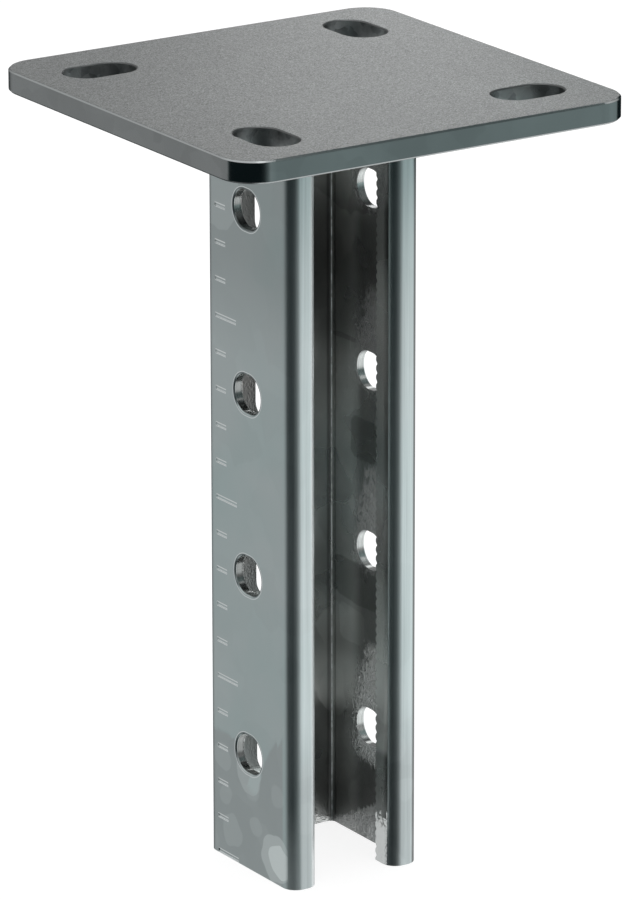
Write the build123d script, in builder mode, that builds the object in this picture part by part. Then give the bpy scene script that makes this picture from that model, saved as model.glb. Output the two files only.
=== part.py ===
"""Strut ceiling hanger: a slotted square plate with a serrated C channel welded under it.

Millimetres, +Z up. The origin is the centre of the plate's ceiling face, so the whole hanger
lies below Z = 0. X runs across the channel, its open side faces -Y and its slotted back +Y.
"""

import os

from build123d import *

# Head plate
plate_side = 120.0
plate_thickness = 6.0
plate_corner_radius = 10.0
plate_edge_chamfer = 0.5
ceiling_slot_pitch = 80.0
ceiling_slot_length = 20.5
ceiling_slot_width = 12.5
ceiling_slot_chamfer = 0.4

# Strut channel section
channel_width = 41.0
channel_depth = 41.0
wall = 2.5
bend_inner_radius = 1.5
lip_flat = 1.25
return_flat = 3.5
channel_length = 208.0

# Serration along the free edge of both lips
tooth_pitch = 2.5
tooth_depth = 0.6
tooth_width = 1.7

# Punched holes, in rows up the channel
row_pitch = 50.0
first_row_height = 32.5
side_hole_length = 12.5
side_hole_height = 10.5
back_slot_length = 30.0
back_slot_width = 12.5
hole_chamfer = 0.3

# Ruler marks stamped in the left wall
mark_pitch = 10.0
first_mark_height = 0.7
mark_width = 1.0
mark_depth = 0.2
mark_inset = 5.3
short_mark_length = 5.0
long_mark_length = 10.0
marks_per_long_mark = 5

# Fillet welds between channel and plate
weld_leg = 3.5
weld_crown = 0.45
weld_end_length = 3.0
weld_end_scale = 0.4
weld_end_gap = 1.0

# Places that follow from the sizes above
bend_outer_radius = bend_inner_radius + wall
half_width = channel_width / 2
half_depth = channel_depth / 2
mouth_half_width = half_width - 2 * bend_outer_radius - lip_flat
return_tip_y = -half_depth + bend_outer_radius + return_flat
channel_top_z = -plate_thickness
channel_bottom_z = channel_top_z - channel_length
row_count = int((channel_length - first_row_height - back_slot_length / 2) // row_pitch) + 1
row_middle_z = channel_bottom_z + first_row_height + (row_count - 1) * row_pitch / 2
tooth_count = int(channel_length // tooth_pitch)
mark_count = int((channel_length - first_mark_height - weld_leg - mark_width) // mark_pitch) + 1

os.makedirs("parts", exist_ok=True)


# Head plate with four slots that follow each other round like a pinwheel
with BuildPart() as head_plate:
    with BuildSketch(Plane.XY.offset(-plate_thickness)):
        RectangleRounded(plate_side, plate_side, plate_corner_radius)
    extrude(amount=plate_thickness)
    rims = head_plate.faces().sort_by(Axis.Z)[0].edges() + head_plate.faces().sort_by(Axis.Z)[-1].edges()
    chamfer(rims, length=plate_edge_chamfer)
    slot_circle_radius = ceiling_slot_pitch / 2 * 2**0.5
    with BuildSketch(Plane.XY):
        with PolarLocations(slot_circle_radius, 4, start_angle=45):
            SlotOverall(ceiling_slot_length, ceiling_slot_width, rotation=45)
    extrude(amount=-plate_thickness, mode=Mode.SUBTRACT)
    for flat in (head_plate.faces().sort_by(Axis.Z)[0], head_plate.faces().sort_by(Axis.Z)[-1]):
        slot_rims = [edge for wire in flat.inner_wires() for edge in wire.edges()]
        chamfer(slot_rims, length=ceiling_slot_chamfer)
head_plate.part.label = "head_plate"
export_step(head_plate.part, "parts/head_plate.step")


# Strut channel: one strip rolled into a C, punched, marked and serrated
with BuildPart() as strut_channel:
    with BuildSketch(Plane.XY.offset(channel_bottom_z)):
        with BuildLine():
            FilletPolyline(
                (-mouth_half_width, return_tip_y),
                (-mouth_half_width, -half_depth),
                (-half_width, -half_depth),
                (-half_width, half_depth),
                (half_width, half_depth),
                (half_width, -half_depth),
                (mouth_half_width, -half_depth),
                (mouth_half_width, return_tip_y),
                radius=bend_outer_radius,
            )
            offset(amount=wall, side=Side.RIGHT)
        make_face()
    extrude(amount=channel_length)

    # Oblong bolt holes through both side walls, long across the channel's depth
    with BuildSketch(Plane.YZ):
        with Locations((0, row_middle_z)):
            with GridLocations(0, row_pitch, 1, row_count):
                SlotOverall(side_hole_length, side_hole_height)
    extrude(amount=half_width, both=True, mode=Mode.SUBTRACT)

    # Slots up the back wall, in the same rows as the side holes
    with BuildSketch(Plane.XZ):
        with Locations((0, row_middle_z)):
            with GridLocations(0, row_pitch, 1, row_count):
                SlotOverall(back_slot_length, back_slot_width, rotation=90)
    extrude(amount=-half_depth, mode=Mode.SUBTRACT)

    # Punched rims are broken on the outside of the three walls
    left_wall = strut_channel.faces().filter_by(Axis.X).sort_by(Axis.X)[0]
    right_wall = strut_channel.faces().filter_by(Axis.X).sort_by(Axis.X)[-1]
    back_wall = strut_channel.faces().filter_by(Axis.Y).sort_by(Axis.Y)[-1]
    for outer_wall in (left_wall, right_wall, back_wall):
        punched_rims = [edge for wire in outer_wall.inner_wires() for edge in wire.edges()]
        chamfer(punched_rims, length=hole_chamfer)

    # Serrated lip edges that grip a channel nut
    tooth_middle_z = (channel_top_z + channel_bottom_z) / 2
    with BuildSketch(Plane.YZ):
        with Locations((return_tip_y, tooth_middle_z)):
            with GridLocations(0, tooth_pitch, 1, tooth_count):
                Polygon((0, tooth_width / 2), (-tooth_depth, 0), (0, -tooth_width / 2), align=None)
    extrude(amount=mouth_half_width + wall, both=True, mode=Mode.SUBTRACT)

    # Ruler marks on the left wall, every fifth one long, counted from the lower end
    mark_start_y = half_depth - mark_inset
    with BuildSketch(Plane.YZ.offset(-half_width)):
        for index in range(mark_count):
            mark_length = short_mark_length if index % marks_per_long_mark else long_mark_length
            mark_z = channel_bottom_z + first_mark_height + index * mark_pitch
            with Locations((mark_start_y - mark_length / 2, mark_z)):
                Rectangle(mark_length, mark_width)
    extrude(amount=mark_depth, mode=Mode.SUBTRACT)
strut_channel.part.label = "strut_channel"
export_step(strut_channel.part, "parts/strut_channel.step")


def weld_bead(label, wall_distance, wall_flat, outward):
    """A crowned fillet weld along the top of one flat wall, running out to a small stop at each end."""
    along = outward.cross(Vector(0, 0, -1))
    half_bead = wall_flat / 2 - weld_end_gap
    half_run = half_bead - weld_end_length
    root = Plane(origin=outward * wall_distance + Vector(0, 0, channel_top_z), x_dir=outward, z_dir=along)
    with BuildPart() as bead:
        for place, scale in (
            (-half_bead, weld_end_scale),
            (-half_run, 1.0),
            (half_run, 1.0),
            (half_bead, weld_end_scale),
        ):
            leg = weld_leg * scale
            with BuildSketch(root.offset(place)):
                with BuildLine():
                    Polyline((0, leg), (0, 0), (leg, 0))
                    SagittaArc((leg, 0), (0, leg), -weld_crown * scale)
                make_face()
        loft(ruled=True)
    bead.part.label = label
    export_step(bead.part, f"parts/{label}.step")
    return bead.part


side_wall_flat = channel_depth - 2 * bend_outer_radius
back_wall_flat = channel_width - 2 * bend_outer_radius
weld_left = weld_bead("weld_left", half_width, side_wall_flat, Vector(-1, 0, 0))
weld_right = weld_bead("weld_right", half_width, side_wall_flat, Vector(1, 0, 0))
weld_back = weld_bead("weld_back", half_depth, back_wall_flat, Vector(0, 1, 0))
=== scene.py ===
"""Strut ceiling hanger, finished for a studio picture.

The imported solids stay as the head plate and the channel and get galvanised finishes. The three
fillet welds are new rippled beads. A pale floor, a ring of studio brightness, a hanging cloth and
two softboxes stand round them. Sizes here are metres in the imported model's own frame.
"""

import math
import bpy
import numpy as np
from bpy.props import FloatProperty, FloatVectorProperty, IntProperty, PointerProperty
from bpy.types import Operator, Panel, PropertyGroup
from mathutils import Matrix, Vector


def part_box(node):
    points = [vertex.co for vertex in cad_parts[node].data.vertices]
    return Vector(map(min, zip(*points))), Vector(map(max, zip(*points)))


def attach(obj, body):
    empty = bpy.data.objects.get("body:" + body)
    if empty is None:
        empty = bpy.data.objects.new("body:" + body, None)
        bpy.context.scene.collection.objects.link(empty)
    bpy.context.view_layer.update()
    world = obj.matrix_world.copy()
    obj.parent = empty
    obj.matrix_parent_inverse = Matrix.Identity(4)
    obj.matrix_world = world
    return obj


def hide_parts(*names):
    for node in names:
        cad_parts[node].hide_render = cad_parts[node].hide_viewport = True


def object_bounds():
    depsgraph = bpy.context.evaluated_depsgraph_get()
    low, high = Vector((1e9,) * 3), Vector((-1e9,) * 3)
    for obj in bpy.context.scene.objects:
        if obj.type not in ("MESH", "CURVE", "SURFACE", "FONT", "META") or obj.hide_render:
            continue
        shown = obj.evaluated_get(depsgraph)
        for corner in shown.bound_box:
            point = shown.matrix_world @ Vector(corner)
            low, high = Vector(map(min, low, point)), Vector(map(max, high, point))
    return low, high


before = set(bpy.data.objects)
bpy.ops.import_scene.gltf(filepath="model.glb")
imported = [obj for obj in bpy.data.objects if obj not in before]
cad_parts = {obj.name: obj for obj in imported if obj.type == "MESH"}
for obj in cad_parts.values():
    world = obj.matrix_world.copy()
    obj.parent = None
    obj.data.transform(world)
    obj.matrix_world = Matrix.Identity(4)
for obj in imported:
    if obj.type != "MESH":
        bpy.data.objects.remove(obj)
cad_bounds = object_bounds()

bl_info = {
    "name": "Strut Ceiling Hanger",
    "version": (1, 0, 0),
    "blender": (4, 5, 0),
    "location": "View3D > Sidebar > Hanger",
    "description": "Galvanised finishes, rippled welds and a studio stage for a strut ceiling hanger",
    "category": "Object",
}

BODY = "root"
PLATE = "head_plate"
CHANNEL = "strut_channel"

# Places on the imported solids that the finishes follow
PLATE_LOW, PLATE_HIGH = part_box(PLATE)
PLATE_CHAMFER = 0.0005
CHANNEL_LOW, CHANNEL_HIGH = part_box(CHANNEL)
CHANNEL_LENGTH = CHANNEL_HIGH.z - CHANNEL_LOW.z
FRONT = CHANNEL_LOW.y
INNER_FACE = CHANNEL_HIGH.x - 0.0025
INNER_FLAT = INNER_FACE - 0.0015
ROW_PITCH = 0.050
FIRST_ROW = CHANNEL_LOW.z + 0.0325
RIM_HALF_STRAIGHT = 0.0010
RIM_RADIUS = 0.0055
FIRST_MARK = CHANNEL_LOW.z + 0.0007
MARK_PITCH = 0.010
MARKS_PER_LONG_MARK = 5
MARK_COUNT = 21
MARK_START = CHANNEL_HIGH.y - 0.0053
SHORT_MARK = 0.005
LONG_MARK = 0.010
MARK_HALF_WIDTH = 0.0005
LINE_BLUR = 0.00015

# Where soft masks start and end on the channel: in y, then in x and y, then in x
LIP_FRONTS = (FRONT + 0.0019, FRONT + 0.0035)
FRONT_BENDS = (FRONT + 0.0035, FRONT + 0.0045)
RETURN_ENDS = (FRONT + 0.0077, FRONT + 0.0081)
CORNER_BENDS = (INNER_FLAT - 0.0005, INNER_FLAT + 0.0001)
LEFT_INSIDE = (0.0100, 0.0116)

# Scuffs with a painted sheen round the side holes: their fade in y, and their tip and foot over the hole's
# middle
SCUFF_SHEEN_SIDE = (0.0040, 0.0090)
SCUFF_SHEEN_TIP = (0.0215, 0.0252)
SCUFF_SHEEN_FOOT, LOWEST_SCUFF_SHEEN_FOOT = -0.0062, -0.0105

# The hanging cloth that only reflections see
FLAG_RADIUS = 0.17
FLAG_LOW, FLAG_HIGH = -0.14, 0.26

# Stain and painted shade of the zinc inside the channel by height, from the lower end at 0 to the plate at 1
STAIN_AND_SHADE_BANDS = (
    (0.00, 0.50), (0.05, 0.34), (0.12, 0.44), (0.16, 0.42), (0.19, 0.88), (0.22, 0.88), (0.26, 0.64),
    (0.30, 0.75), (0.38, 0.66), (0.46, 0.88), (0.56, 0.82), (0.63, 0.65), (0.69, 0.36), (0.78, 0.25),
    (0.83, 0.32), (0.90, 0.80),
)

# The same stain and painted shade for the lips' returns
RETURN_BANDS = (
    (0.00, 0.45), (0.06, 0.23), (0.10, 0.07), (0.15, 0.08), (0.17, 0.40), (0.24, 0.78), (0.31, 0.51),
    (0.36, 0.40), (0.39, 0.25), (0.48, 0.31), (0.55, 0.18), (0.65, 0.31), (0.75, 0.30), (0.82, 0.08),
    (0.86, 0.09), (0.90, 0.32),
)

# Darker or lighter patches on the right wall's inside: y, height over the lower end, half width, half height,
# shade
INNER_PATCHES = (
    (0.0050, 0.0713, 0.0130, 0.0060, 0.68),
    (0.0020, 0.1120, 0.0068, 0.0062, 0.65),
    (0.0085, 0.0590, 0.0062, 0.0052, 1.2),
    (0.0120, 0.1392, 0.0060, 0.0007, 0.75),
)

# Pale round spots on the left wall: y, height over the lower end, radius, strength
PALE_SPOTS = (
    (0.0003, 0.0275, 0.0062, 0.28), (-0.0128, 0.0070, 0.0070, 0.45), (-0.0145, 0.0063, 0.0050, 1.0),
    (0.0084, 0.0082, 0.0050, 0.16), (0.0113, 0.0180, 0.0030, 0.13), (-0.0034, 0.0130, 0.0031, 0.16),
    (0.0127, 0.0280, 0.0040, 0.13), (0.0145, 0.1850, 0.0108, 0.17),
)

# Studio brightness round the hanger, by compass direction in degrees: 0 looks towards -Y, 90 towards +X
RING = (
    (-180, 0.10), (-168, 0.38), (-155, 0.52), (-121, 0.52), (-84, 0.015), (-42, 0.015), (-22, 0.09),
    (-6, 0.28), (6, 0.62), (20, 1.24), (33, 1.11), (45, 1.17), (62, 1.31), (84, 1.15), (100, 1.05),
    (115, 0.80), (140, 0.35), (165, 0.06), (180, 0.10),
)

# Shared by all colour properties
COLOUR = {"subtype": "COLOR", "size": 3, "min": 0, "max": 1}


class HangerFinish(PropertyGroup):
    """Colours and textures of the galvanised steel."""

    channel_colour: FloatVectorProperty(
        name="Channel Colour", description="Zinc on the rolled channel",
        default=(0.49, 0.590, 0.588), **COLOUR,
    )
    channel_warm_colour: FloatVectorProperty(
        name="Channel Warm Colour", description="Greyer zinc that drifts through the channel's colour",
        default=(0.535, 0.595, 0.598), **COLOUR,
    )
    inside_colour: FloatVectorProperty(
        name="Inside Colour", description="Zinc inside the channel", default=(0.66, 0.72, 0.71), **COLOUR,
    )
    inside_warm_colour: FloatVectorProperty(
        name="Inside Warm Colour", description="Browner zinc that drifts through the inside",
        default=(0.71, 0.71, 0.69), **COLOUR,
    )
    # Painted sheen on the rough zinc scuffs inside
    scuff_sheen_colour: FloatVectorProperty(
        name="Scuff Sheen Colour", description="Painted sheen on the rough zinc round the holes inside",
        default=(0.95, 0.97, 0.96), **COLOUR,
    )
    disc_colour: FloatVectorProperty(
        name="Disc Colour", description="Pale round spots near the lower end",
        default=(0.84, 0.915, 0.91), **COLOUR,
    )
    punched_colour: FloatVectorProperty(
        name="Punched Colour", description="Cut walls of the punched holes",
        default=(0.60, 0.63, 0.62), **COLOUR,
    )
    # Painted shade on the edges of the punched holes
    edge_shade_colour: FloatVectorProperty(
        name="Edge Shade Colour", description="Painted shade on the edges of the punched holes",
        default=(0.10, 0.12, 0.125), **COLOUR,
    )
    # Painted highlight on the left lip's mouth bend
    mouth_highlight_colour: FloatVectorProperty(
        name="Mouth Highlight Colour", description="Painted highlight on the left lip's mouth bend",
        default=(0.82, 0.87, 0.87), **COLOUR,
    )
    plate_colour: FloatVectorProperty(
        name="Plate Colour", description="Zinc on the two faces of the head plate",
        default=(0.253, 0.262, 0.261), **COLOUR,
    )
    plate_edge_colour: FloatVectorProperty(
        name="Plate Edge Colour", description="Zinc on the cut edges of the head plate",
        default=(0.270, 0.284, 0.285), **COLOUR,
    )
    weld_colour: FloatVectorProperty(
        name="Weld Colour", description="Zinc over the weld beads", default=(0.42, 0.45, 0.45), **COLOUR,
    )
    # Painted highlight on hole rims, stamped lines and inner corner lines
    painted_highlight_colour: FloatVectorProperty(
        name="Painted Highlight Colour", description="Painted highlight on hole rims, stamped lines and inner corner lines",
        default=(0.93, 0.97, 0.97), **COLOUR,
    )
    grain_size: FloatProperty(
        name="Grain Size", description="Size of one grain of the sandy zinc", unit="LENGTH",
        default=0.00028, min=0.0001,
    )
    patch_size: FloatProperty(
        name="Patch Size", description="Width of one cloudy zinc patch", unit="LENGTH", default=0.012,
        min=0.001,
    )
    patch_contrast: FloatProperty(
        name="Patch Contrast", description="How far the patches differ in brightness", subtype="FACTOR",
        default=0.09, min=0, max=1,
    )
    channel_roughness: FloatProperty(
        name="Channel Roughness", description="How dull the channel's zinc is", subtype="FACTOR",
        default=0.3, min=0, max=1,
    )
    plate_grain: FloatProperty(
        name="Plate Grain", description="How far the grains on the plate's faces differ in brightness",
        subtype="FACTOR", default=0.8, min=0, max=2,
    )
    plate_roughness: FloatProperty(
        name="Plate Roughness", description="How dull the plate's zinc is", subtype="FACTOR",
        default=0.55, min=0, max=1,
    )
    plate_edge_roughness: FloatProperty(
        name="Plate Edge Roughness", description="How dull the plate's cut edges are", subtype="FACTOR",
        default=0.15, min=0, max=1,
    )


class HangerWelds(PropertyGroup):
    """Shape of the fillet weld beads."""

    ripple_pitch: FloatProperty(
        name="Ripple Pitch", description="Step from one ripple to the next", unit="LENGTH",
        default=0.0013, min=0.0003,
    )
    ripple_height: FloatProperty(
        name="Ripple Height", description="How far a ripple stands over the next", unit="LENGTH",
        default=0.00022, min=0,
    )
    ripple_bow: FloatProperty(
        name="Ripple Bow", description="How far a ripple's middle runs ahead of its ends", unit="LENGTH",
        default=0.0011, min=0,
    )
    run_out: FloatProperty(
        name="Run-out", description="Length over which the bead tapers at each end", unit="LENGTH",
        default=0.003, min=0.0005,
    )
    stations: IntProperty(
        name="Stations", description="Cross-sections along one bead", default=220, min=20, max=800,
    )
    seed: IntProperty(name="Seed", description="Seed of the hand-laid unevenness", default=7, min=0)


class HangerStage(PropertyGroup):
    """Camera, floor and light."""

    camera_place: FloatVectorProperty(
        name="Camera Place", description="Where the camera stands", subtype="XYZ", unit="LENGTH", size=3,
        default=(-0.89701, -1.36799, 0.42424),
    )
    camera_azimuth: FloatProperty(
        name="Camera Azimuth", description="Turn of the view about the vertical", unit="ROTATION",
        default=math.radians(-33.2823),
    )
    camera_drop: FloatProperty(
        name="Camera Drop", description="How far the view looks down", unit="ROTATION",
        default=math.radians(17.7776),
    )
    camera_roll: FloatProperty(
        name="Camera Roll", description="Turn of the picture about the view", unit="ROTATION",
        default=math.radians(-0.085),
    )
    lens: FloatProperty(
        name="Lens", description="Focal length in millimetres on a 36 mm sensor", default=261.1, min=10,
    )
    floor_radius: FloatProperty(
        name="Floor Radius", description="Reach of the pale floor", unit="LENGTH", default=8.0, min=1,
    )
    top_light: FloatProperty(
        name="Top Light", description="Power of the overhead softbox", default=2.8, min=0,
    )
    back_light: FloatProperty(
        name="Back Light", description="Power of the small softbox that the plate's top mirrors",
        default=0.2, min=0,
    )


class Wiring:
    """Adds nodes to one node tree and links them, so that a formula can be read as calls."""

    def __init__(self, tree):
        self.tree = tree
        self.count = 0

    def add(self, kind, feeds=None, **settings):
        """One node. feeds gives inputs by name or number, each a value or another node's output."""
        made = self.tree.nodes.new(kind)
        made.location = (self.count % 12 * 190, -(self.count // 12) * 260)
        self.count += 1
        for name, value in settings.items():
            setattr(made, name, value)
        for name, value in (feeds or {}).items():
            self.feed(made.inputs[name], value)
        return made

    def feed(self, socket, value):
        """A link where the value is an output, else the socket's own value."""
        if isinstance(value, bpy.types.NodeSocket):
            self.tree.links.new(value, socket)
        elif value is not None:
            socket.default_value = value

    def math(self, operation, *values, clamp=False):
        """A Math node's result."""
        feeds = dict(enumerate(values))
        return self.add("ShaderNodeMath", feeds, operation=operation, use_clamp=clamp).outputs[0]

    def times(self, first, *others):
        """Values multiplied together."""
        for other in others:
            first = self.math("MULTIPLY", first, other)
        return first

    def highest(self, first, *others):
        """The highest of some values."""
        for other in others:
            first = self.math("MAXIMUM", first, other)
        return first

    def plus(self, value, other):
        """Two values added."""
        return self.math("ADD", value, other)

    def less(self, value, other):
        """A value less another."""
        return self.math("SUBTRACT", value, other)

    def rest(self, mask):
        """What a mask leaves of 1."""
        return self.math("SUBTRACT", 1.0, mask)

    def scale(self, value, factor, start):
        """A value times a factor, counted from a start."""
        return self.math("MULTIPLY_ADD", value, factor, start)

    def sway(self, value, reach, middle):
        """A middle that a value between 0 and 1 moves up or down, over a reach in all."""
        return self.scale(self.less(value, 0.5), reach, middle)

    def ramp(self, value, low, high, to_low=0.0, to_high=1.0):
        """A smooth step from to_low where value is low to to_high where it is high."""
        feeds = {"Value": value, "From Min": low, "From Max": high, "To Min": to_low, "To Max": to_high}
        return self.add("ShaderNodeMapRange", feeds, interpolation_type="SMOOTHSTEP").outputs["Result"]

    def fade(self, value, low, high, strength=1.0):
        """A smooth step from a strength where value is low to 0 where it is high."""
        return self.ramp(value, low, high, strength, 0.0)

    def choose(self, mask, off, on):
        """One value where a mask is 0, easing to another where it is 1."""
        return self.ramp(mask, 0.0, 1.0, off, on)

    def within(self, value, low, high, blur=0.0001):
        """1 where a value is between two others, easing to 0 outside them."""
        over = self.ramp(value, low - blur, low + blur)
        return self.times(over, self.fade(value, high - blur, high + blur))

    def stops(self, value, table):
        """A shade read from a table of places between 0 and 1, eased from each stop to the next."""
        made = self.add("ShaderNodeValToRGB", {"Fac": value})
        made.color_ramp.interpolation = "EASE"
        while len(made.color_ramp.elements) < len(table):
            made.color_ramp.elements.new(0.5)
        for element, (place, shade) in zip(made.color_ramp.elements, table):
            element.position = place
            element.color = (shade, shade, shade, 1.0)
        return made.outputs["Color"]

    def noise(self, vector, scale, detail=0.0, distortion=0.0):
        """A Noise Texture's outputs."""
        feeds = {"Vector": vector, "Scale": scale, "Detail": detail, "Distortion": distortion}
        return self.add("ShaderNodeTexNoise", feeds).outputs

    def vector(self, operation, *values):
        """A Vector Math node's vector."""
        feeds = dict(enumerate(values))
        return self.add("ShaderNodeVectorMath", feeds, operation=operation).outputs["Vector"]

    def measure(self, operation, *values):
        """A Vector Math node's length or distance."""
        feeds = dict(enumerate(values))
        return self.add("ShaderNodeVectorMath", feeds, operation=operation).outputs["Value"]

    def split(self, vector):
        """The three parts of a vector."""
        return self.add("ShaderNodeSeparateXYZ", {0: vector}).outputs

    def join(self, x, y, z):
        """A vector from its three parts."""
        return self.add("ShaderNodeCombineXYZ", {0: x, 1: y, 2: z}).outputs[0]

    def mix(self, fac, first, second, blend="MIX"):
        """A colour between two colours."""
        made = self.add("ShaderNodeMix", data_type="RGBA", blend_type=blend, clamp_factor=True)
        for name, value in (("Factor_Float", fac), ("A_Color", first), ("B_Color", second)):
            self.feed(next(s for s in made.inputs if s.identifier == name), value)
        return next(s for s in made.outputs if s.identifier == "Result_Color")

    def tint(self, colour, shade):
        """A colour made lighter or darker by a factor."""
        return self.mix(1.0, colour, self.join(shade, shade, shade), blend="MULTIPLY")

    def bump(self, metal, strength, distance, height):
        """Raises a metal's surface by a height."""
        feeds = {"Strength": strength, "Distance": distance, "Height": height}
        self.feed(metal.inputs["Normal"], self.add("ShaderNodeBump", feeds).outputs["Normal"])

    def seen(self, camera_sees, rest_sees):
        """One shader for the camera and another for all other rays."""
        camera_ray = self.add("ShaderNodeLightPath").outputs["Is Camera Ray"]
        feeds = {"Fac": camera_ray, 1: rest_sees.outputs[0], 2: camera_sees.outputs[0]}
        return self.add("ShaderNodeMixShader", feeds).outputs[0]

    def group(self, name, feeds):
        """The outputs of a finish group placed in this tree."""
        return self.add("ShaderNodeGroup", feeds, node_tree=bpy.data.node_groups[name]).outputs


def open_group(name, inputs, outputs):
    """A new shader node group, as (wiring, input sockets, output sockets). inputs gives each number's
    default, and None for a vector."""
    tree = bpy.data.node_groups.new(name, "ShaderNodeTree")
    for label, default in inputs.items():
        kind = "NodeSocketVector" if default is None else "NodeSocketFloat"
        socket = tree.interface.new_socket(name=label, in_out="INPUT", socket_type=kind)
        if default is not None:
            socket.default_value = default
    for label in outputs:
        tree.interface.new_socket(name=label, in_out="OUTPUT", socket_type="NodeSocketFloat")
    w = Wiring(tree)
    entry = w.add("NodeGroupInput").outputs
    return w, entry, w.add("NodeGroupOutput").inputs


def rgba(colour):
    """A colour property as the four numbers that a socket takes."""
    return (*colour, 1.0)


def build_sandy_grain():
    """Fine sandy zinc: cells of one grain size, each with a random shade round 1, and a noise of the same
    size as a height."""
    inputs = {"Position": None, "Grain Size": 0.0006, "Amount": 0.2}
    w, entry, result = open_group("sandy_grain", inputs, ("Shade", "Height"))
    frequency = w.math("DIVIDE", 1.0, entry["Grain Size"])
    cells = {"Vector": entry["Position"], "Scale": frequency}
    grains = w.add("ShaderNodeTexVoronoi", cells, feature="F1")
    w.feed(result["Shade"], w.sway(w.split(grains.outputs["Color"])[0], entry["Amount"], 1.0))
    w.feed(result["Height"], w.noise(entry["Position"], frequency)["Fac"])


def build_zinc_clouds():
    """Cloudy zinc: rounded cells of one random shade each and a slow noise, both bent by another noise.
    Drift is the slow noise alone. Discs are round pale spots, one to a cell, each full inside its own
    random radius."""
    inputs = {"Position": None, "Patch Size": 0.009, "Contrast": 0.3}
    w, entry, result = open_group("zinc_clouds", inputs, ("Shade", "Mask", "Drift", "Discs"))
    position = entry["Position"]
    frequency = w.math("DIVIDE", 1.0, entry["Patch Size"])
    bend = w.noise(position, scale=w.times(frequency, 0.9), detail=2.0)["Color"]
    reach = w.times(entry["Patch Size"], 0.9)
    off_centre = w.vector("SUBTRACT", bend, (0.5, 0.5, 0.5))
    place = w.vector("ADD", position, w.vector("MULTIPLY", off_centre, w.join(reach, reach, reach)))
    rounded = {"Vector": place, "Scale": frequency, "Smoothness": 0.12}
    cells = w.add("ShaderNodeTexVoronoi", rounded, feature="SMOOTH_F1")
    slow = w.noise(place, scale=w.times(frequency, 0.3), detail=3.0)["Fac"]
    drift = w.ramp(slow, 0.3, 0.7)
    mask = w.scale(drift, 0.5, w.times(w.split(cells.outputs["Color"])[0], 0.5))
    w.feed(result["Drift"], drift)
    w.feed(result["Mask"], mask)
    w.feed(result["Shade"], w.sway(mask, entry["Contrast"], 1.0))
    nearer = {"Vector": w.mix(0.45, position, place), "Scale": frequency}
    spots = w.add("ShaderNodeTexVoronoi", nearer, feature="F1")
    dice = w.split(spots.outputs["Color"])
    past_radius = w.less(spots.outputs["Distance"], w.scale(dice[0], 0.3, 0.2))
    w.feed(result["Discs"], w.times(w.fade(past_radius, -0.06, 0.01), dice[1]))


def build_oblong_hole():
    """How far a point lies outside an oblong hole's outline, less than nought inside it: the length to the
    hole's straight middle line less its radius."""
    inputs = {"Along": 0.0, "Across": 0.0, "Half Straight": 0.004, "Radius": 0.006}
    w, entry, result = open_group("oblong_hole", inputs, ("Distance",))
    beyond = w.highest(w.less(w.math("ABSOLUTE", entry["Along"]), entry["Half Straight"]), 0.0)
    reach = w.measure("LENGTH", w.join(beyond, entry["Across"], 0.0))
    w.feed(result["Distance"], w.less(reach, entry["Radius"]))


def build_finish_groups():
    """The effects that more than one finish uses, each built once."""
    for name, build in (
        ("sandy_grain", build_sandy_grain),
        ("zinc_clouds", build_zinc_clouds),
        ("oblong_hole", build_oblong_hole),
    ):
        if name not in bpy.data.node_groups:
            build()


def new_tree(name):
    """An empty material and the wiring of its nodes."""
    finish = bpy.data.materials.new(name)
    finish.use_nodes = True
    finish.node_tree.nodes.clear()
    return finish, Wiring(finish.node_tree)


def new_finish(name):
    """An empty metal material, as (material, wiring, object position, its metal shader)."""
    finish, w = new_tree(name)
    position = w.add("ShaderNodeTexCoord").outputs["Object"]
    metal = w.add("ShaderNodeBsdfPrincipled", {"Metallic": 1.0})
    w.add("ShaderNodeOutputMaterial", {"Surface": metal.outputs["BSDF"]})
    return finish, w, position, metal


def dress(obj, finish):
    """Puts one finish in a piece's material slots."""
    if not obj.material_slots:
        obj.data.materials.append(finish)
    for slot in obj.material_slots:
        slot.material = finish


def clouds_group(w, position, patch_size, contrast):
    """The outputs of cloudy zinc at a position."""
    return w.group("zinc_clouds", {"Position": position, "Patch Size": patch_size, "Contrast": contrast})


def grain_group(w, position, grain_size, amount):
    """The outputs of sandy zinc at a position."""
    return w.group("sandy_grain", {"Position": position, "Grain Size": grain_size, "Amount": amount})


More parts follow.
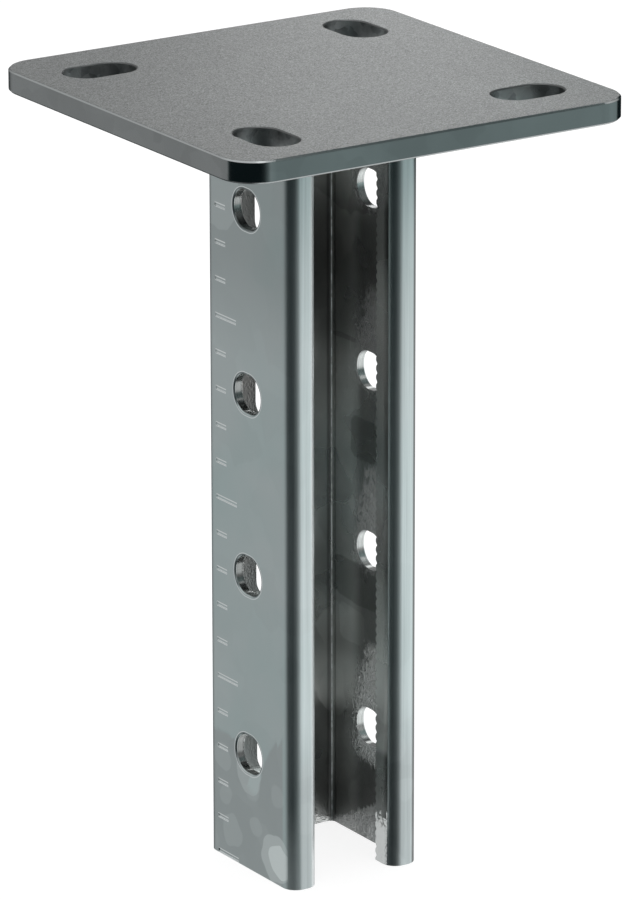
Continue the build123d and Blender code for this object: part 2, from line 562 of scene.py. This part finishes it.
def plate_finish(look):
    """Sandy satin zinc on both faces, smoother on the cut edges, patchy and dull in the slots, with a
    painted highlight along the chamfered edges outside the slots and painted shade on them inside the slots."""
    finish, w, position, metal = new_finish("plate_zinc")
    x, y, z = w.split(position)
    grain = grain_group(w, position, look.grain_size, look.plate_grain)
    clouds = clouds_group(w, position, patch_size=0.05, contrast=0.10)
    half = (PLATE_HIGH.z - PLATE_LOW.z) / 2
    off_middle = w.math("ABSOLUTE", w.less(z, (PLATE_LOW.z + PLATE_HIGH.z) / 2))
    flat = w.ramp(off_middle, half - 0.00012, half - 0.00004)
    chamfer = half - PLATE_CHAMFER
    broken = w.times(w.ramp(off_middle, chamfer, chamfer + 0.0001), w.rest(flat))
    reach = PLATE_HIGH.x - 0.004
    in_slot = w.times(w.within(x, -reach, reach), w.within(y, -reach, reach), w.rest(flat))
    face = w.tint(rgba(look.plate_colour), w.times(grain["Shade"], clouds["Shade"]))
    patches = clouds_group(w, position, w.choose(in_slot, 0.007, 0.003), w.choose(in_slot, 0.2, 1.1))
    edge = w.tint(rgba(look.plate_edge_colour), patches["Shade"])
    # The chamfers carry a painted highlight outside the slots and painted shade inside them
    edge = w.mix(broken, edge, w.tint(rgba(look.plate_edge_colour), w.choose(in_slot, 1.8, 0.5)))
    w.feed(metal.inputs["Base Color"], w.mix(flat, edge, face))
    dull = w.choose(in_slot, look.plate_edge_roughness, 0.4)
    w.feed(metal.inputs["Roughness"], w.highest(dull, w.times(flat, look.plate_roughness)))
    height = w.times(grain["Height"], w.scale(in_slot, 3.0, flat))
    w.bump(metal, strength=0.25, distance=0.0001, height=height)
    return finish


def on_left_wall(w, x):
    """1 on the outside of the left wall and on the floors of its stamped marks."""
    return w.math("LESS_THAN", x, CHANNEL_LOW.x + 0.0004)


def stamped_lines(w, position):
    """The two long edges of each stamped ruler mark and its short heel, as (upper line, lower line, heel).

    A mark's centre is the nearest whole step up from the first one. A point lies on a line where
    its height from that centre is half the mark's width, and on the mark's length where its y is
    between the mark's start and its end, which is further away on every fifth mark."""
    x, y, z = w.split(position)
    steps = w.math("DIVIDE", w.less(z, FIRST_MARK), MARK_PITCH)
    count = w.math("ROUND", steps)
    height = w.times(w.less(steps, count), MARK_PITCH)
    in_set = w.math("FLOORED_MODULO", w.plus(count, 0.25), MARKS_PER_LONG_MARK)
    length = w.scale(w.math("COMPARE", in_set, 0.25, 0.5), LONG_MARK - SHORT_MARK, SHORT_MARK)
    from_start = w.less(MARK_START, y)
    before_end = w.fade(w.less(from_start, length), -LINE_BLUR, LINE_BLUR)
    on_length = w.times(w.ramp(from_start, -LINE_BLUR, LINE_BLUR), before_end)
    in_range = w.times(
        w.math("GREATER_THAN", count, -0.5), w.math("LESS_THAN", count, MARK_COUNT - 0.5), on_left_wall(w, x)
    )
    lines = []
    for side in (1, -1):
        off = w.math("ABSOLUTE", w.less(height, side * (MARK_HALF_WIDTH - 0.00004)))
        lines.append(w.times(on_length, in_range, w.fade(off, 0.00016, 0.00030)))
    at_heel = w.fade(w.math("ABSOLUTE", from_start), 0.0001, 0.0003)
    in_mark = w.fade(w.math("ABSOLUTE", height), MARK_HALF_WIDTH, MARK_HALF_WIDTH + 0.0001)
    heel = w.times(at_heel, in_mark, in_range, w.math("GREATER_THAN", count, 0.5))
    return *lines, heel


def bend_masks(w, position):
    """1 on one of the front bends, as (left wall's, left lip's, right lip's, right wall's)."""
    x, y = w.split(position)[:2]
    at_front = w.fade(y, *FRONT_BENDS)
    return (
        w.times(at_front, w.fade(x, -0.0185, -0.0165)),
        w.times(at_front, w.within(x, -0.0137, -0.0105, blur=0.0004)),
        w.times(at_front, w.within(x, 0.0105, 0.0140, blur=0.0005)),
        w.times(at_front, w.ramp(x, 0.0179, 0.0187)),
    )


def outer_zinc(look, w, position, rise, outer_wall, bends):
    """The channel's outside: two zincs that drift into each other, darker near the lower end and with painted
    shade under the plate, with pale spots low on the left wall, faint lines from the rolls on the lips, a
    painted highlight on the left lip's mouth bend and painted shade on the right lip's and right wall's
    bends."""
    x, y = w.split(position)[:2]
    left_bend, left_mouth, right_mouth, right_bend = bends
    clouds = clouds_group(w, position, look.patch_size, look.patch_contrast)
    lips = w.fade(y, *LIP_FRONTS)

    # The darker lower end, whose limit climbs towards both edges of a side wall
    limit = w.scale(w.highest(w.less(-0.0044, y), 0.0), 1.6, w.ramp(y, 0.003, 0.010, 0.024, 0.035))
    over = w.sway(clouds["Mask"], reach=0.010, middle=w.less(rise, limit))
    low = w.mix(lips, w.fade(over, -0.0012, 0.0012), w.fade(rise, 0.026, 0.050, strength=1.25))
    low = w.times(low, w.rest(left_bend))
    drift = w.scale(clouds["Drift"], w.choose(lips, 1.0, 0.4), w.times(lips, 0.5))
    zinc = w.mix(w.highest(drift, low), rgba(look.channel_colour), rgba(look.channel_warm_colour))

    drawn_out = w.vector("MULTIPLY", position, (1.0, 1.0, 0.012))
    rolled = w.noise(drawn_out, scale=1800.0, detail=1.0)["Fac"]
    # Painted shade on the side walls near the plate
    under_plate_shade = w.times(w.ramp(rise, 0.136, 0.173, 0.0, 0.22), outer_wall)
    left_lip = w.times(lips, w.within(x, -0.0155, 0.0, blur=0.0005))
    # Shade: roll lines on the lips, random patches, the darker lower end, painted shade under the plate and
    # on the right lip's and right wall's front bends, and slightly darker lips
    shade = w.times(
        w.sway(rolled, reach=w.times(lips, 0.36), middle=1.0),
        clouds["Shade"],
        w.scale(low, -0.16, 1.0),
        w.rest(under_plate_shade),
        w.scale(right_bend, -0.8, w.scale(right_mouth, -0.05, 1.0)),
        w.scale(left_lip, -0.05, w.scale(lips, -0.035, 1.0)),
    )
    # Painted highlight on the left lip's mouth bend
    zinc = w.mix(left_mouth, w.tint(zinc, shade), rgba(look.mouth_highlight_colour))

    # Pale spots: level circles on the wall, whose outlines a noise moves a little
    wobble = w.noise(position, scale=160.0, detail=1.0)["Color"]
    wobble = w.vector("SUBTRACT", wobble, (0.5, 0.5, 0.5))
    flattened = w.vector("MULTIPLY", position, (0.0, 1.0, 1.0))
    place = w.vector("ADD", flattened, w.vector("MULTIPLY", wobble, (0.0, 0.003, 0.003)))
    pale = w.times(clouds["Discs"], w.fade(rise, 0.025, 0.05, strength=0.15))
    on_left = on_left_wall(w, x)
    for across_wall, height, radius, strength in PALE_SPOTS:
        reach = w.measure("DISTANCE", place, (0.0, across_wall, CHANNEL_LOW.z + height))
        spot = w.fade(reach, radius - 0.0004, radius + 0.0001, strength)
        pale = w.highest(pale, w.times(spot, on_left))
    return w.mix(pale, zinc, rgba(look.disc_colour))


def inner_shade(w, position, rise, in_row, on_return, stains):
    """How light the zinc is inside the channel, from stains and painted shade. Left of the right wall it is
    plain and light, apart from painted shade on the back beside each left hole. On the right wall, its
    return and the back next to it, it lies in bands of stain and painted shade by height, whose limits the
    stains bend. The right wall is darker near the mouth and has a few separate darker or lighter patches,
    each an oblong with rounded corners."""
    x, y = w.split(position)[:2]
    place = w.math("DIVIDE", w.sway(stains["Mask"], reach=0.008, middle=rise), CHANNEL_LENGTH, clamp=True)
    # Bands of stain and painted shade by height
    banded = w.mix(on_return, w.stops(place, STAIN_AND_SHADE_BANDS), w.stops(place, RETURN_BANDS))
    on_back = w.ramp(y, INNER_FLAT - 0.0001, INNER_FLAT + 0.0003)
    back_lift = w.scale(on_back, w.ramp(x, 0.006, 0.012, 0.0, 0.15), 1.0)
    shade = w.times(w.choose(on_return, stains["Shade"], 1.0), banded, back_lift)
    shade = w.mix(w.fade(x, *LEFT_INSIDE), shade, w.ramp(stains["Mask"], 0.2, 0.8, 1.16, 1.32))
    # Painted shade on the back wall's left part at the heights of the left holes
    shade_behind_holes = w.times(
        w.ramp(y, 0.0155, 0.0165),
        w.fade(x, -0.0045, -0.0030, strength=0.68),
        w.within(in_row, -0.0125, -0.0005, blur=0.0008),
    )
    shade = w.times(shade, w.rest(shade_behind_holes))
    on_right = w.math("GREATER_THAN", x, 0.0172)
    near_mouth = w.times(shade, w.ramp(y, 0.003, 0.009, 0.36, 1.0))
    shade = w.mix(w.times(on_right, w.rest(on_return)), shade, near_mouth)
    smudge = w.times(w.less(stains["Drift"], 0.5), 0.0018)
    for across_wall, height, half_y, half_z, darker in INNER_PATCHES:
        off_y = w.math("DIVIDE", w.less(w.plus(y, smudge), across_wall), half_y)
        off_z = w.math("DIVIDE", w.less(w.plus(rise, smudge), height), half_z)
        oblong = w.highest(w.math("ABSOLUTE", off_y), w.math("ABSOLUTE", off_z))
        rounded = w.highest(oblong, w.times(w.measure("LENGTH", w.join(off_y, off_z, 0.0)), 0.82))
        there = w.times(w.fade(rounded, 0.90, 1.0), on_right)
        shade = w.times(shade, w.scale(there, darker - 1.0, 1.0))
    return shade


def scuff_sheen_masks(w, position, across, rise, in_row, on_return):
    """Rough zinc scuffs inside that carry a painted sheen, as (scuffs, crease). One lies round each side
    hole, from a level below it to a tip above it, and is narrower the further up. Another runs along the
    lower end and dips towards the corners. Both have edges moved by a wrinkled noise, and crease is how far
    that noise is from its middle."""
    y = w.split(position)[1]
    drawn_out = w.vector("MULTIPLY", position, (1.0, 1.0, 0.6))
    wrinkle = w.noise(drawn_out, scale=620.0, detail=2.0, distortion=1.5)["Fac"]
    crease = w.math("ABSOLUTE", w.less(wrinkle, 0.5))
    crests = w.ramp(crease, 0.0, 0.05, 1.0, 0.8)
    above = w.highest(w.less(in_row, 0.005), 0.0)
    fan = w.scale(above, 0.33, w.sway(wrinkle, reach=0.018, middle=y))
    foot = w.ramp(rise, 0.03, 0.04, LOWEST_SCUFF_SHEEN_FOOT, SCUFF_SHEEN_FOOT)
    over_foot = w.sway(wrinkle, reach=0.010, middle=w.less(in_row, foot))
    by_hole = w.times(
        w.fade(fan, *SCUFF_SHEEN_SIDE),
        w.fade(in_row, *SCUFF_SHEEN_TIP),
        w.ramp(over_foot, -0.0006, 0.0022),
        w.rest(on_return),
        crests,
        w.ramp(rise, 0.06, 0.085, 1.0, 0.5),
        w.ramp(rise, 0.11, 0.135, 1.0, 0.4),
    )
    from_corner = w.less(INNER_FLAT, w.math("MINIMUM", across, y))
    edge = w.math("MINIMUM", w.times(from_corner, 0.5), 0.0115)
    reach = w.choose(on_return, 0.004, 0.014)
    over_edge = w.sway(wrinkle, reach, middle=w.less(w.less(rise, 0.0014), edge))
    low_end = w.times(
        w.fade(over_edge, -0.0008, 0.0008),
        w.choose(crests, 0.5, 1.0),
        w.choose(on_return, 0.5, 1.6),
    )
    return w.highest(by_hole, low_end), crease


def inner_zinc(look, w, position, across, rise, in_row, on_return):
    """The channel's inside, as (colour, scuffs, crease, corner line): stained zinc, with painted shade by
    height, and scuffs that carry a painted sheen. In each corner a thin dotted line for a painted highlight
    runs where the two walls' distances are equal, with painted shade on both sides."""
    y = w.split(position)[1]
    stains = clouds_group(w, position, patch_size=0.012, contrast=0.5)
    shade = inner_shade(w, position, rise, in_row, on_return, stains)
    # Painted shade in each inner corner, and the dotted line that takes a painted highlight
    in_bend = w.times(w.ramp(y, *CORNER_BENDS), w.ramp(across, *CORNER_BENDS))
    dots = w.ramp(w.noise(position, scale=420.0, detail=2.0)["Fac"], 0.40, 0.60, 0.38, 0.85)
    corner_line = w.times(in_bend, w.within(w.less(across, y), -0.00024, 0.00016, blur=0.00008), dots)
    shade = w.times(shade, w.scale(in_bend, -0.45, 1.0))
    zinc = w.mix(stains["Drift"], rgba(look.inside_colour), rgba(look.inside_warm_colour))
    scuff_sheen, crease = scuff_sheen_masks(w, position, across, rise, in_row, on_return)
    # Scuffs take a painted sheen colour
    colour = w.mix(w.times(scuff_sheen, 0.9), w.tint(zinc, shade), rgba(look.scuff_sheen_colour))
    return colour, scuff_sheen, crease, corner_line


def channel_finish(look):
    """Smooth cloudy zinc outside and stained, finely rippled zinc inside. The cut walls of the holes are
    light, with painted shade on their outer edges and a painted highlight line round them, and the stamped
    marks have painted highlight lines. The surface is partly dull where it is dusty: inside, on the scuffs,
    on the corner lines and on two front bends."""
    finish, w, position, metal = new_finish("channel_zinc")
    x, y, z = w.split(position)
    across = w.math("ABSOLUTE", x)
    rise = w.less(z, CHANNEL_LOW.z)
    inner_reach = INNER_FACE + 0.0002
    inside = w.times(w.within(x, -inner_reach, inner_reach), w.within(y, -inner_reach, inner_reach))
    outer_wall = w.math("GREATER_THAN", across, CHANNEL_HIGH.x - 0.00035)
    on_return = w.fade(y, *RETURN_ENDS)
    off_return = w.rest(on_return)
    from_row = w.math("FLOORED_MODULO", w.less(z, FIRST_ROW - ROW_PITCH / 2), ROW_PITCH)
    in_row = w.less(from_row, ROW_PITCH / 2)
    outline = {"Along": y, "Across": in_row, "Half Straight": RIM_HALF_STRAIGHT, "Radius": RIM_RADIUS}
    hole = w.group("oblong_hole", outline)["Distance"]
    upper_line, lower_line, heel = stamped_lines(w, position)
    bends = bend_masks(w, position)
    left_bend, left_mouth = bends[:2]
    outer = outer_zinc(look, w, position, rise, outer_wall, bends)
    inner, scuff_sheen, crease, corner_line = inner_zinc(look, w, position, across, rise, in_row, on_return)
    scuff_sheen = w.times(scuff_sheen, inside)

    # Cut walls of the holes: light, with streaks through the thickness and painted shade towards the inner
    # edge and at the foot; on the left wall painted shade covers the whole cut wall, more in the lower rows
    in_wall = w.within(across, INNER_FACE + 0.0001, CHANNEL_HIGH.x - 0.0003)
    punched = w.times(in_wall, w.within(hole, -0.01, 0.0001))
    streaks = w.noise(w.join(across, 0.0, 0.0), scale=2600.0, detail=1.0)["Fac"]
    left_foot_shade = w.fade(in_row, -0.0047, -0.0035, strength=0.1)
    left_foot_shade = w.plus(left_foot_shade, w.ramp(rise, 0.03, 0.14, 0.5, 0.4))
    right_foot_shade = w.fade(in_row, -0.0052, -0.0038, strength=0.6)
    foot = w.mix(w.math("LESS_THAN", x, 0.0), right_foot_shade, left_foot_shade)
    shade = w.times(
        w.ramp(streaks, 0.35, 0.65, 0.6, 1.2),
        w.ramp(across, INNER_FACE, INNER_FACE + 0.0005, 0.4, 1.0),
        w.rest(foot),
    )
    colour = w.mix(punched, w.mix(inside, outer, inner), w.tint(rgba(look.punched_colour), shade))

    # Rims: painted shade on each hole's edge, a painted highlight line round that, and painted highlights on
    # the stamped lines and corner lines
    at_edge = w.within(hole, 0.00002, 0.00026, blur=0.00005)
    broken = w.times(at_edge, outer_wall, w.ramp(in_row, -0.005, -0.003), 0.8)
    colour = w.mix(broken, colour, rgba(look.edge_shade_colour))
    rim = w.times(w.within(hole, 0.00030, 0.00055, blur=0.00007), outer_wall, 0.8)
    bright = w.highest(rim, w.times(upper_line, 0.95), lower_line, corner_line)
    w.feed(metal.inputs["Base Color"], w.mix(bright, colour, rgba(look.painted_highlight_colour)))

    clouds = clouds_group(w, position, look.patch_size, contrast=1.0)
    rough = w.sway(clouds["Mask"], reach=w.scale(inside, 0.12, 0.03), middle=look.channel_roughness)
    rough = w.scale(punched, -0.12, rough)
    w.feed(metal.inputs["Roughness"], w.scale(scuff_sheen, w.choose(off_return, -0.1, -0.16), rough))
    dusty = w.scale(scuff_sheen, w.choose(off_return, -0.24, 0.1), w.choose(inside, 0.06, 0.26))
    dusty = w.scale(inside, w.fade(x, -0.004, 0.004, strength=-0.2), dusty)
    dusty = w.scale(corner_line, 0.5, dusty)
    dusty = w.scale(left_bend, w.fade(rise, 0.0, 0.026, strength=0.26), dusty)
    dusty = w.scale(left_mouth, 0.5, dusty)
    w.feed(metal.inputs["Metallic"], w.math("SUBTRACT", w.rest(dusty), heel, clamp=True))
    waves = w.scale(scuff_sheen, w.choose(off_return, 0.1, 1.1), w.choose(inside, 0.02, 0.45))
    ridges = w.times(w.math("MINIMUM", crease, 0.12), scuff_sheen, off_return, 9.0)
    ripple = w.noise(position, scale=2200.0, detail=1.0)["Fac"]
    w.bump(metal, strength=0.6, distance=0.0003, height=w.scale(ripple, waves, ridges))
    return finish


def weld_finish(look):
    """Cloudy sandy zinc over the ripples, duller in some patches than in others."""
    finish, w, position, metal = new_finish("weld_zinc")
    grain = grain_group(w, position, look.grain_size, amount=0.5)
    clouds = clouds_group(w, position, patch_size=0.004, contrast=0.4)
    shade = w.times(grain["Shade"], clouds["Shade"])
    w.feed(metal.inputs["Base Color"], w.tint(rgba(look.weld_colour), shade))
    w.feed(metal.inputs["Roughness"], w.choose(clouds["Mask"], 0.3, 0.5))
    w.bump(metal, strength=0.3, distance=0.0001, height=grain["Height"])
    return finish


def mesh_object(name, points, faces, smooth=True):
    """A piece whose place is in its mesh."""
    mesh = bpy.data.meshes.new(name)
    mesh.from_pydata(points.reshape(-1, 3), [], faces)
    mesh.polygons.foreach_set("use_smooth", np.full(len(mesh.polygons), smooth))
    mesh.update()
    obj = bpy.data.objects.new(name, mesh)
    bpy.context.scene.collection.objects.link(obj)
    return obj


class HANGER_OT_finish_plate(Operator):
    """Give the head plate its sandy zinc"""

    bl_idname = "hanger.finish_plate"
    bl_label = "Finish Head Plate"

    def execute(self, context):
        build_finish_groups()
        dress(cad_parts[PLATE], plate_finish(context.scene.hanger_finish))
        return {"FINISHED"}


class HANGER_OT_finish_channel(Operator):
    """Give the strut channel its cloudy zinc, bright rims and stamped lines"""

    bl_idname = "hanger.finish_channel"
    bl_label = "Finish Channel"

    def execute(self, context):
        build_finish_groups()
        dress(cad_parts[CHANNEL], channel_finish(context.scene.hanger_finish))
        return {"FINISHED"}


def weld_bead(name, low, high, outward, shape, random):
    """One rippled fillet bead in a box, along the box's level long side.

    A point is a station along the bead and a place v on its crown, from the toe on the plate at 0 to
    the toe on the wall at 1. The straight line between the toes is pushed out along the fillet's
    middle by the crown, a parabola in v, and by the ripples, the size of a sine of the station less
    a bow that is also a parabola in v. Both legs shrink towards each end over the run-out, and swing
    slowly by a few sines of random phase. The root corner closes each section and a point each end."""
    outward = np.array(outward, float)
    along = np.abs(np.cross(outward, (0.0, 0.0, 1.0)))
    up = np.array([0.0, 0.0, 1.0])
    low, high = np.array(low), np.array(high)
    leg = high[2] - low[2]
    half = abs((high - low) @ along) / 2
    middle = (high + low) / 2
    root = np.array([middle[0], middle[1], high[2]]) - outward * leg / 2
    station = np.linspace(-half, half, shape.stations)[:, None]
    v = np.linspace(0.0, 1.0, 21)[None, :]
    swing = sum(
        np.sin(station / (half * wave) * math.pi + random.uniform(0, 2 * math.pi))
        for wave in (0.31, 0.47, 0.83)
    )
    ease = np.clip((half - np.abs(station)) / shape.run_out, 0.0, 1.0)
    end_size, growth, unevenness, crown_height = 0.35, 0.61, 0.012, 0.11
    size = leg * (end_size + growth * np.sqrt(1 - (1 - ease) ** 2)) * (1 + unevenness * swing)
    arch = 4 * v * (1 - v)
    phase = (station - shape.ripple_bow * arch) / shape.ripple_pitch
    ripple = shape.ripple_height * (np.abs(np.sin(math.pi * phase)) - 0.6) * np.sqrt(arch) * ease
    push = (crown_height * size * arch + ripple) / math.sqrt(2)
    out, down = (1 - v) * size + push, v * size + push
    corner = root + station[..., None] * along
    ring = np.concatenate([corner + out[..., None] * outward - down[..., None] * up, corner], axis=1)

    stations, around = ring.shape[:2]
    i, j = np.meshgrid(np.arange(stations - 1), np.arange(around), indexing="ij")
    here, beside = i * around + j, i * around + (j + 1) % around
    quads = np.stack([here, beside, beside + around, here + around], axis=-1).reshape(-1, 4)
    j = np.arange(around)
    beside = (j + 1) % around
    first_pole = stations * around
    end = first_pole - around
    start_fan = np.stack([beside, j, np.full(around, first_pole)], axis=-1)
    end_fan = np.stack([end + j, end + beside, np.full(around, first_pole + 1)], axis=-1)
    points = np.concatenate([ring.reshape(-1, 3), ring.mean(axis=1)[[0, -1]]])
    a, b, c = (points[quads[:, k]] for k in range(3))
    if np.einsum("ij,ij->", np.cross(b - a, c - a), (a + b + c) / 3 - middle) < 0:
        quads, start_fan, end_fan = quads[:, ::-1], start_fan[:, ::-1], end_fan[:, ::-1]
    return mesh_object(name, points, quads.tolist() + start_fan.tolist() + end_fan.tolist())


class HANGER_OT_lay_welds(Operator):
    """Lay the three rippled fillet welds"""

    bl_idname = "hanger.lay_welds"
    bl_label = "Lay Welds"

    def execute(self, context):
        build_finish_groups()
        shape = context.scene.hanger_welds
        finish = weld_finish(context.scene.hanger_finish)
        random = np.random.default_rng(shape.seed)
        for node, outward in (("weld_left", (-1, 0, 0)), ("weld_right", (1, 0, 0)), ("weld_back", (0, 1, 0))):
            bead = weld_bead(f"rippled_{node}", *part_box(node), outward, shape, random)
            dress(bead, finish)
            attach(bead, BODY)
            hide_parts(node)
        return {"FINISHED"}


def compass(w, vector):
    """A vector's compass direction as a turn from 0 to 1, and its height."""
    x, y, z = w.split(vector)
    azimuth = w.math("ARCTAN2", x, w.times(y, -1.0))
    return w.scale(azimuth, 1 / (2 * math.pi), 0.5), z


class HANGER_OT_set_stage(Operator):
    """Set the floor, the studio light and the camera"""

    bl_idname = "hanger.set_stage"
    bl_label = "Set Stage"

    def execute(self, context):
        stage = context.scene.hanger_stage
        self.lay_floor(stage)
        self.hang_flag()
        self.light(context, stage)
        self.aim(context, stage)
        context.scene.view_settings.view_transform = "Standard"
        return {"FINISHED"}

    def lay_floor(self, stage):
        """A pale square floor under the channel's lower end, whose own shade keeps the hanger's shadow."""
        r = stage.floor_radius
        height = cad_bounds[0][2]
        corners = np.array([[-r, -r, height], [r, -r, height], [r, r, height], [-r, r, height]])
        floor = mesh_object("studio_floor", corners, [(0, 1, 2, 3)], smooth=False)
        finish, w = new_tree("floor_pale")
        dull = w.add("ShaderNodeBsdfDiffuse", {"Color": (0.88, 0.88, 0.88, 1.0)})
        shaded = w.add("ShaderNodeBsdfDiffuse", {"Color": (0.3, 0.3, 0.3, 1.0)})
        white = w.add("ShaderNodeEmission", {"Color": (1.0, 1.0, 1.0, 1.0), "Strength": 0.86})
        lifted = w.add("ShaderNodeAddShader", {0: shaded.outputs[0], 1: white.outputs[0]})
        w.add("ShaderNodeOutputMaterial", {"Surface": w.seen(lifted, dull)})
        dress(floor, finish)
        floor.visible_glossy = False

    def hang_flag(self):
        """A half-clear cloth on an arc round the plate's front, which only reflections see: low before the
        plate and thickest past its corners, with a second strip above."""
        angles = np.radians(np.linspace(-100, 125, 46))
        turn, height = np.meshgrid(angles, (FLAG_LOW, FLAG_HIGH))
        points = np.stack([FLAG_RADIUS * np.sin(turn), -FLAG_RADIUS * np.cos(turn), height], axis=-1)
        count = len(angles)
        first = np.arange(count - 1)
        faces = np.stack([first, first + 1, first + 1 + count, first + count], axis=-1).tolist()
        flag = mesh_object("studio_flag", points, faces, smooth=False)
        finish, w = new_tree("flag_cloth")
        turn, z = compass(w, w.add("ShaderNodeTexCoord").outputs["Object"])
        degrees = w.scale(turn, 360.0, -180.0)
        low = w.scale(w.ramp(z, -0.085, -0.055), 0.40, w.times(w.ramp(z, -0.135, -0.085), 0.18))
        front = w.times(low, w.ramp(degrees, -30.0, 0.0))
        left_corner = w.times(w.ramp(degrees, -93.0, -85.0), w.fade(degrees, -30.0, 10.0))
        corners = w.plus(left_corner, w.ramp(degrees, 62.0, 74.0))
        dark = w.times(corners, w.ramp(z, -0.075, -0.055))
        above = w.within(z, 0.11, 0.25, blur=0.01)
        above = w.times(above, w.within(degrees, 0.0, 115.0, blur=8.0), 0.85)
        weave = w.highest(w.times(w.highest(front, dark), w.fade(z, 0.03, 0.05)), above)
        thin = w.mix(w.ramp(weave, 0.2, 0.6), (1.0, 1.0, 1.0, 1.0), (0.82, 1.0, 1.0, 1.0))
        clear = w.add("ShaderNodeBsdfTransparent", {"Color": thin})
        tinted = w.add("ShaderNodeEmission", {"Color": (0.01, 0.018, 0.02, 1.0), "Strength": 1.0})
        choice = w.add("ShaderNodeMixShader", {"Fac": weave, 1: clear.outputs[0], 2: tinted.outputs[0]})
        w.add("ShaderNodeOutputMaterial", {"Surface": choice.outputs[0]})
        dress(flag, finish)
        for kind in ("camera", "diffuse", "transmission", "volume_scatter", "shadow"):
            setattr(flag, f"visible_{kind}", False)

    def light(self, context, stage):
        """White to the camera; to the metal, the studio ring below the horizon and a soft dome above it."""
        world = bpy.data.worlds.new("studio_ring")
        context.scene.world = world
        world.use_nodes = True
        world.node_tree.nodes.clear()
        w = Wiring(world.node_tree)
        turn, z = compass(w, w.add("ShaderNodeTexCoord").outputs["Generated"])
        ring = w.stops(turn, [((degrees + 180) / 360, brightness) for degrees, brightness in RING])
        ring = w.mix(1.0, ring, (0.0, 0.008, 0.010, 1.0), blend="ADD")
        dome = w.ramp(z, 0.1, 0.9, 0.33, 0.8)
        brightness = w.mix(w.ramp(z, -0.12, 0.25), ring, w.join(dome, dome, dome))
        studio = w.add("ShaderNodeBackground", {"Color": brightness})
        white = w.add("ShaderNodeBackground", {"Color": (1.0, 1.0, 1.0, 1.0)})
        w.add("ShaderNodeOutputWorld", {"Surface": w.seen(white, studio)})
        for name, place, aim, size, power in (
            ("top_softbox", (0.2, 0.1, 1.4), (0.0, 0.0, 0.0), 1.2, stage.top_light),
            ("back_softbox", (0.30, 0.37, 0.17), (0.03, 0.0, 0.0), 0.16, stage.back_light),
        ):
            softbox = bpy.data.lights.new(name, "AREA")
            softbox.shape = "SQUARE"
            softbox.size = size
            softbox.energy = power
            lamp = bpy.data.objects.new(name, softbox)
            lamp.location = place
            lamp.rotation_euler = (Vector(aim) - Vector(place)).to_track_quat("-Z", "Y").to_euler()
            lamp.visible_camera = False
            context.scene.collection.objects.link(lamp)

    def aim(self, context, stage):
        """The camera, placed and turned as in the photograph."""
        camera = bpy.data.cameras.new("camera")
        camera.lens = stage.lens
        camera.sensor_width = 36.0
        camera.clip_start = 0.01
        camera.clip_end = 50.0
        holder = bpy.data.objects.new("camera", camera)
        turned = Matrix.Rotation(stage.camera_azimuth, 4, "Z")
        tipped = Matrix.Rotation(math.pi / 2 - stage.camera_drop, 4, "X")
        rolled = Matrix.Rotation(stage.camera_roll, 4, "Z")
        holder.matrix_world = Matrix.Translation(stage.camera_place) @ turned @ tipped @ rolled
        context.scene.collection.objects.link(holder)
        context.scene.camera = holder


class HANGER_PT_sidebar(Panel):
    """The hanger's steps and settings"""

    bl_idname = "HANGER_PT_sidebar"
    bl_label = "Strut Ceiling Hanger"
    bl_space_type = "VIEW_3D"
    bl_region_type = "UI"
    bl_category = "Hanger"

    def draw(self, context):
        for title, group, operators in (
            ("Finish", context.scene.hanger_finish, (HANGER_OT_finish_plate, HANGER_OT_finish_channel)),
            ("Welds", context.scene.hanger_welds, (HANGER_OT_lay_welds,)),
            ("Stage", context.scene.hanger_stage, (HANGER_OT_set_stage,)),
        ):
            box = self.layout.box()
            box.label(text=title)
            for name in group.bl_rna.properties.keys():
                if name not in ("rna_type", "name"):
                    box.prop(group, name)
            for operator in operators:
                box.operator(operator.bl_idname)


CLASSES = (
    HangerFinish, HangerWelds, HangerStage, HANGER_OT_finish_plate, HANGER_OT_finish_channel,
    HANGER_OT_lay_welds, HANGER_OT_set_stage, HANGER_PT_sidebar,
)
SETTINGS = (("hanger_finish", HangerFinish), ("hanger_welds", HangerWelds), ("hanger_stage", HangerStage))


def register():
    for cls in CLASSES:
        bpy.utils.register_class(cls)
    for name, group in SETTINGS:
        setattr(bpy.types.Scene, name, PointerProperty(type=group))


def unregister():
    for name, _ in SETTINGS:
        delattr(bpy.types.Scene, name)
    for cls in reversed(CLASSES):
        bpy.utils.unregister_class(cls)


def main():
    register()
    bpy.ops.hanger.finish_plate()
    bpy.ops.hanger.finish_channel()
    bpy.ops.hanger.lay_welds()
    bpy.ops.hanger.set_stage()


if __name__ == "__main__":
    main()
